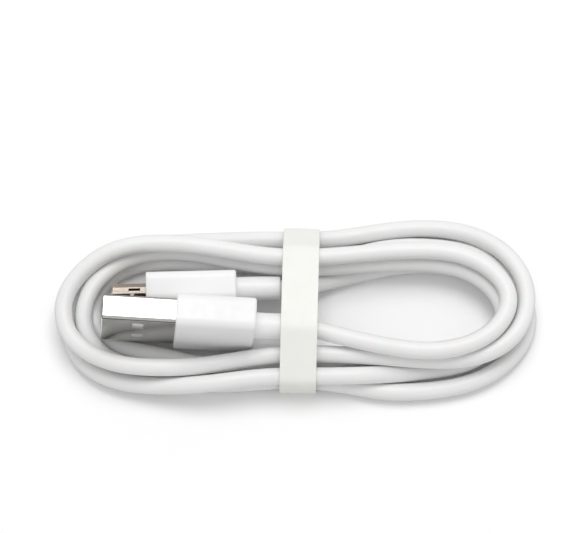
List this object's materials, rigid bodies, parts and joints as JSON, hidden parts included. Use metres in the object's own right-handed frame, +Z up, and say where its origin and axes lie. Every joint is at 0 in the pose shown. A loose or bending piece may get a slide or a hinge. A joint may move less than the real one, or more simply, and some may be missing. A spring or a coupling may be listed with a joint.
{
  "type": "charging cable",
  "caption": "Round white charging cable with a USB-A plug and a micro-USB plug, wound in a flat long coil and held together by one flat strap.",
  "frame": {"origin": "on the table, under the middle of the strap", "axes": "+X along the coil, away from both plugs; +Y across the coil, from the USB-A plug's side to the far side; +Z up from the table"},
  "size_m": [0.083, 0.0329, 0.0159],
  "materials": {
    "cable_white": "soft satin",
    "moulded_white": "satin",
    "strap_cream": "smooth matt",
    "bright_steel": "polished, bright plated",
    "warm_steel": "satin, warm plating",
    "gold_contacts": "gold plated",
    "insulator_white": "matt",
    "insulator_black": "matt",
    "can_steel": "stamped",
    "inner_plastic": "natural",
    "wire_red": "satin",
    "wire_white": "satin",
    "wire_green": "satin",
    "wire_black": "satin"
  },
  "bodies": {
    "coil": {"cable_jacket": "cable_white", "red_wire": "wire_red", "white_wire": "wire_white", "green_wire": "wire_green", "black_wire": "wire_black", "usb_a_strain_relief": "moulded_white", "micro_strain_relief": "moulded_white"},
    "usb_a_plug": {"usb_a_shell": "bright_steel", "usb_a_insulator": "insulator_white", "usb_a_contacts": "gold_contacts", "usb_a_crimp_can": "can_steel", "usb_a_inner_mould": "inner_plastic", "usb_a_boot": "moulded_white", "usb_a_cable_end": "cable_white", "usb_a_wire_tails": "wire_white"},
    "micro_plug": {"micro_shell": "warm_steel", "micro_insulator": "insulator_black", "micro_contacts": "gold_contacts", "micro_crimp_can": "can_steel", "micro_inner_mould": "inner_plastic", "micro_boot": "moulded_white", "micro_cable_end": "cable_white", "micro_wire_tails": "wire_white"},
    "latch_upper": {"micro_latch_upper": "warm_steel"},
    "latch_lower": {"micro_latch_lower": "warm_steel"},
    "strap": {"strap": "strap_cream"}
  },
  "joints": [
    {"name": "usb_a_flex", "type": "hinge", "parent": "coil", "child": "usb_a_plug", "pos_m": [-0.0054, -0.00575, 0.00785], "axis": [0, 1, 0], "range_deg": [0, 25]},
    {"name": "micro_flex", "type": "hinge", "parent": "coil", "child": "micro_plug", "pos_m": [-0.007, 0.00197, 0.0056], "axis": [0, 1, 0], "range_deg": [0, 30]},
    {"name": "latch_upper_press", "type": "hinge", "parent": "micro_plug", "child": "latch_upper", "pos_m": [-0.02157, 0.00061, 0.00821], "axis": [-0.0045, 0.1736, -0.9848], "range_deg": [0, 2.34]},
    {"name": "latch_lower_press", "type": "hinge", "parent": "micro_plug", "child": "latch_lower", "pos_m": [-0.02159, 0.00156, 0.00281], "axis": [-0.0045, 0.1736, -0.9848], "range_deg": [0, 2.34]},
    {"name": "strap_slide", "type": "slide", "parent": "coil", "child": "strap", "axis": [1, 0, 0], "range_m": [-0.001, 0.001]}
  ]
}
